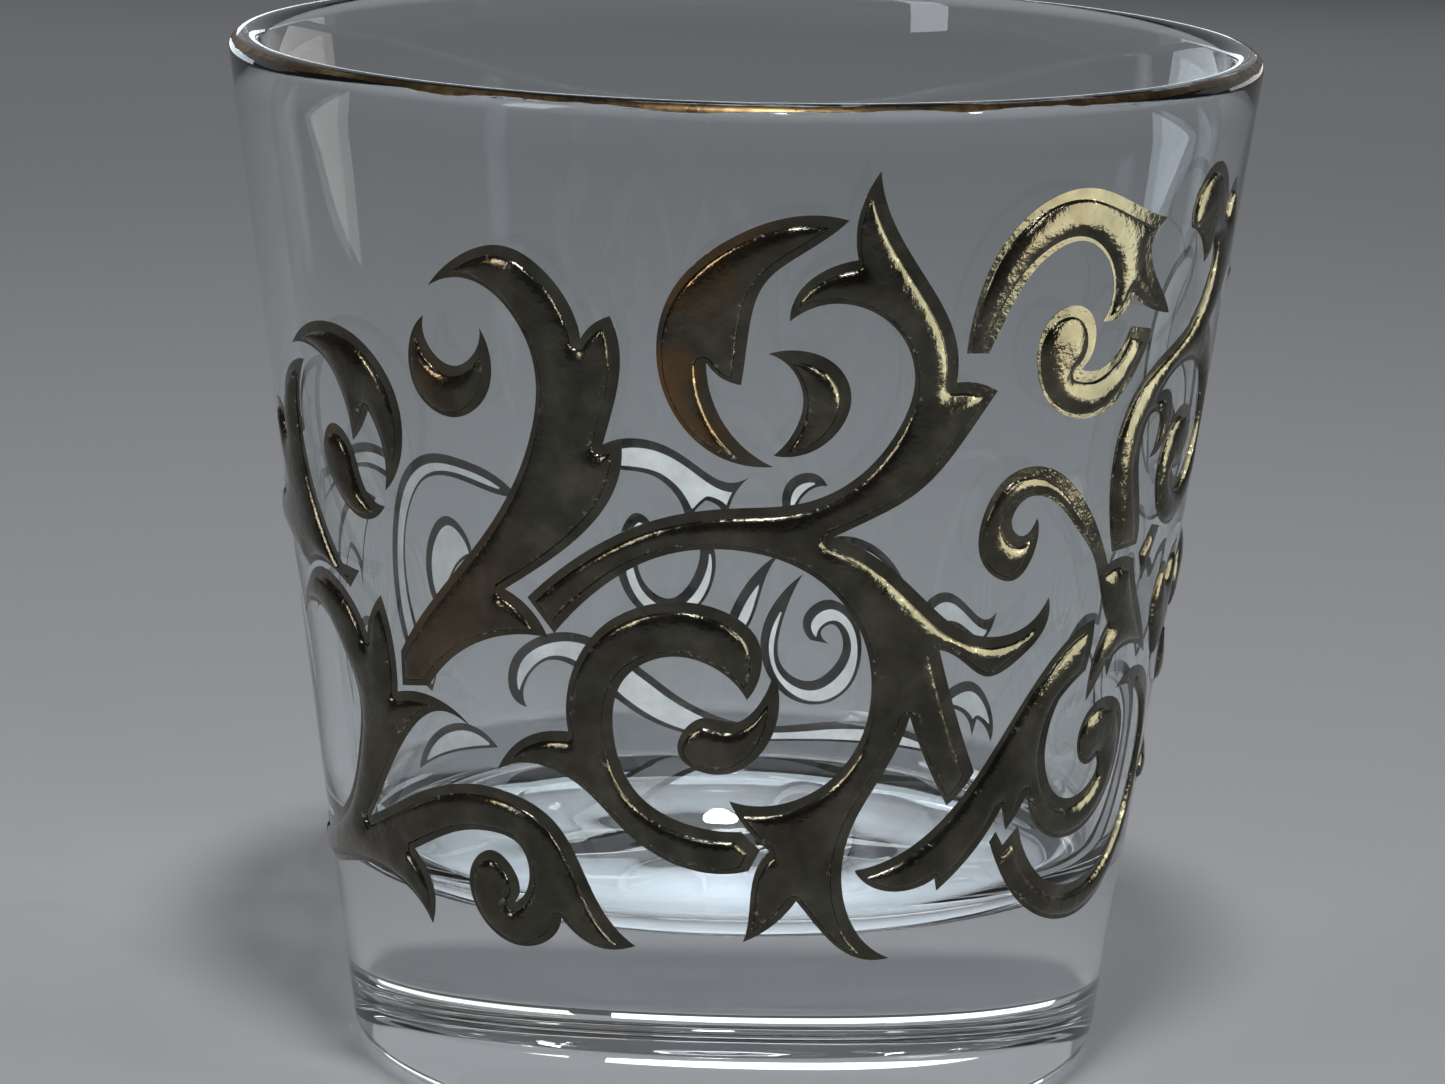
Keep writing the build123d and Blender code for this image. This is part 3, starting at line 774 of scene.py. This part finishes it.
def build_camera():
    data = bpy.data.cameras.new("camera")
    data.sensor_width = 36.0
    data.lens = 124.57
    data.clip_start = 0.01
    camera = bpy.data.objects.new("camera", data)
    pitch, yaw, roll_angle = 0.21834, -0.00242, 0.02412
    forward = Vector((math.sin(yaw) * math.cos(pitch), math.cos(yaw) * math.cos(pitch), -math.sin(pitch)))
    turn = forward.to_track_quat("-Z", "Y").to_matrix() @ Matrix.Rotation(roll_angle, 3, "Z")
    camera.location = (0.0, -0.41443, 0.13498)
    camera.rotation_euler = turn.to_euler()
    bpy.context.scene.collection.objects.link(camera)
    bpy.context.scene.camera = camera


def place_light(data, place, target, tilt=0.0):
    """A light, out of the camera's sight, that points at `target` and is turned by `tilt` degrees."""
    light = bpy.data.objects.new(data.name, data)
    light.location = place
    aim = (Vector(target) - Vector(place)).to_track_quat("-Z", "Y").to_matrix()
    light.rotation_euler = (aim @ Matrix.Rotation(math.radians(tilt), 3, "Z")).to_euler()
    light.visible_camera = False
    bpy.context.scene.collection.objects.link(light)
    return light


def softbox(name, place, target, width, height, power, colour, tilt=0.0):
    data = bpy.data.lights.new(name, "AREA")
    data.shape = "RECTANGLE"
    data.size = width
    data.size_y = height
    data.energy = power
    data.color = colour
    return place_light(data, place, target, tilt)


def spot(name, place, target, power, angle, radius, colour):
    data = bpy.data.lights.new(name, "SPOT")
    data.energy = power
    data.color = colour
    data.spot_size = math.radians(angle)
    data.spot_blend = 1.0
    data.shadow_soft_size = radius
    return place_light(data, place, target)


def pieces_named(*endings):
    return [item for item in bpy.data.objects if item.name.endswith(endings)]


def only_lights(light, pieces):
    """Makes a light fall on some pieces alone."""
    receivers = bpy.data.collections.new(light.name + "_receivers")
    for piece in pieces:
        receivers.objects.link(piece)
    light.light_linking.receiver_collection = receivers


build_floor()
build_world()
build_camera()

# General light: a lamp above, a tall window, a wide panel behind and two small panes.
pool = spot("pool", (0.02, -0.26, 0.74), (0, 0.05, 0), 7.2, 60.0, 0.05, (0.95, 0.97, 1.0))
softbox("window", (-0.60, -0.55, 0.42), (0, 0, 0.06), 0.16, 0.45, 1.1, (0.88, 0.93, 1.0))
softbox("back_panel", (0.0, 0.75, 0.32), (0, 0, 0.01), 2.6, 0.42, 0.95, (0.93, 0.96, 1.0))
softbox("front_pane", (0.08, -0.48, 0.62), (0, -0.04, 0.08), 0.03, 0.05, 0.30, (0.86, 0.93, 1.0))
softbox("side_pane", (0.50, -0.33, 0.54), (0, -0.04, 0.08), 0.03, 0.05, 0.30, (0.93, 0.96, 1.0))

# Glints and the cream reflection of the metal.
left_strip = softbox("left_strip", (-0.42, -0.30, 0.30), (0, 0, 0.05), 0.04, 0.30, 0.55, (1.0, 0.80, 0.50))
right_strip = softbox("right_strip", (0.34, -0.38, 0.26), (0, 0, 0.05), 0.03, 0.24, 0.5, (1.0, 0.94, 0.83))
card = softbox("cream_card", (0.124, -0.041, 0.076), (0, -0.026, 0.076), 0.088, 0.104, 0.17,
               (1.0, 0.98, 0.76), -12.0)

# The white of the far beads, and the bright ring low in the glass.
inner = spot("inner", (0.0, -0.12, 0.36), (0, 0.038, 0.030), 4.6, 15.0, 0.03, (0.96, 0.98, 1.0))
low_cool = softbox("low_cool", (-0.18, 0.56, 0.090), (0, 0, 0.03), 0.62, 0.11, 0.42, (0.82, 0.93, 1.0))
low_warm = softbox("low_warm", (0.32, 0.50, 0.085), (0, 0, 0.03), 0.40, 0.085, 0.14, (1.0, 0.95, 0.84))

for light in (left_strip, right_strip, card):
    only_lights(light, pieces_named("_lustre"))
for light in (low_cool, low_warm):
    only_lights(light, [glass])
only_lights(inner, pieces_named("_enamel", "_enamels"))

# The glass casts a shadow in the lamp's light alone.
solids = bpy.data.collections.new("solids")
for item in bpy.data.objects:
    if item.type == "MESH" and item is not glass:
        solids.objects.link(item)
for light in bpy.data.objects:
    if light.type == "LIGHT" and light is not pool:
        light.light_linking.blocker_collection = solids

bpy.context.scene.view_settings.view_transform = "Standard"
